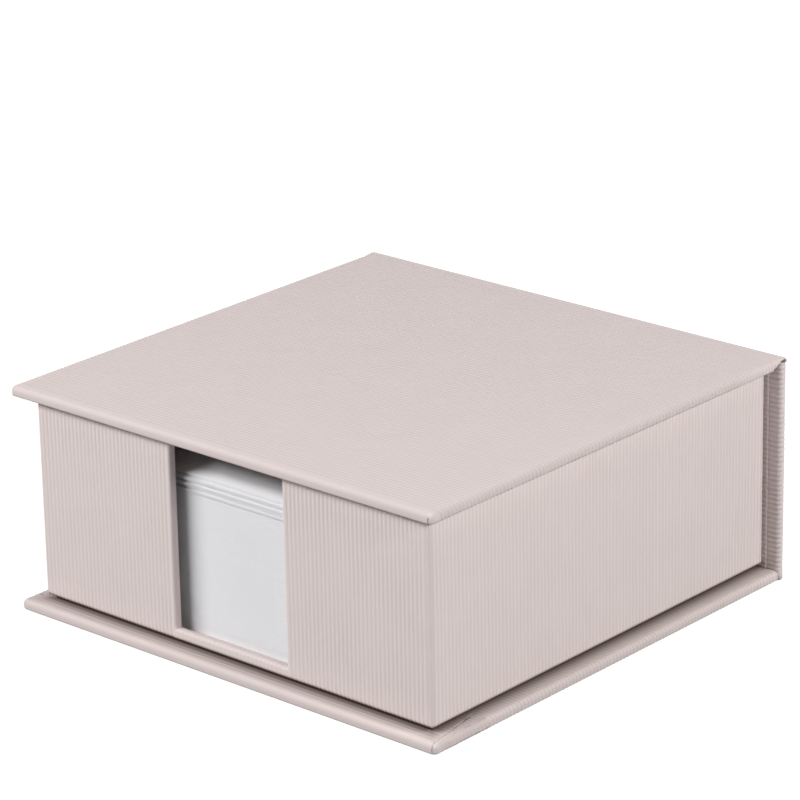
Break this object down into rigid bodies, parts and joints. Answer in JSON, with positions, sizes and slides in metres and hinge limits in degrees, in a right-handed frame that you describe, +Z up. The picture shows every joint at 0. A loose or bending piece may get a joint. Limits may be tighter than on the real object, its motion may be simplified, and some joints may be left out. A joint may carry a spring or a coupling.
{
  "type": "memo box",
  "caption": "Book-style memo box: paper-covered case with a hinged lid over a square tray of loose note sheets, with a thumb slot in the tray's front wall.",
  "frame": {"origin": "middle of the underside, where the base rests on the desk", "axes": "+Z up, -Y to the front with the thumb slot, +Y to the spine with the lid's hinge, +X to the right seen from the front"},
  "size_m": [0.1044, 0.1032, 0.0454],
  "materials": {
    "cover_paper": "matte",
    "lining_paper": "matte",
    "grey_board": "matte",
    "note_paper": "matte"
  },
  "bodies": {
    "box": {"base_board": "grey_board", "base_cover": "cover_paper", "spine_board": "grey_board", "spine_cover": "cover_paper", "spine_lining": "lining_paper", "tray_floor": "grey_board", "tray_front_wall": "grey_board", "tray_back_wall": "grey_board", "tray_left_wall": "grey_board", "tray_right_wall": "grey_board", "tray_wrap": "cover_paper", "tray_floor_lining": "lining_paper", "lid_hinge_strip": "cover_paper"},
    "lid": {"lid_board": "grey_board", "lid_cover": "cover_paper", "lid_lining": "lining_paper"},
    "sheets": {"sheet_block": "note_paper", "loose_bundle_1": "note_paper", "loose_bundle_2": "note_paper", "loose_bundle_3": "note_paper", "loose_bundle_4": "note_paper", "loose_bundle_5": "note_paper", "loose_bundle_6": "note_paper"}
  },
  "joints": [
    {"name": "lid_hinge", "type": "hinge", "parent": "box", "child": "lid", "pos_m": [0, 0.0506, 0.0444], "axis": [-1, 0, 0], "range_deg": [0, 205], "deforming": ["lid_hinge_strip"]},
    {"name": "sheets_lift", "type": "slide", "parent": "box", "child": "sheets", "axis": [0, 0, 1], "range_m": [0, 0.008]}
  ]
}
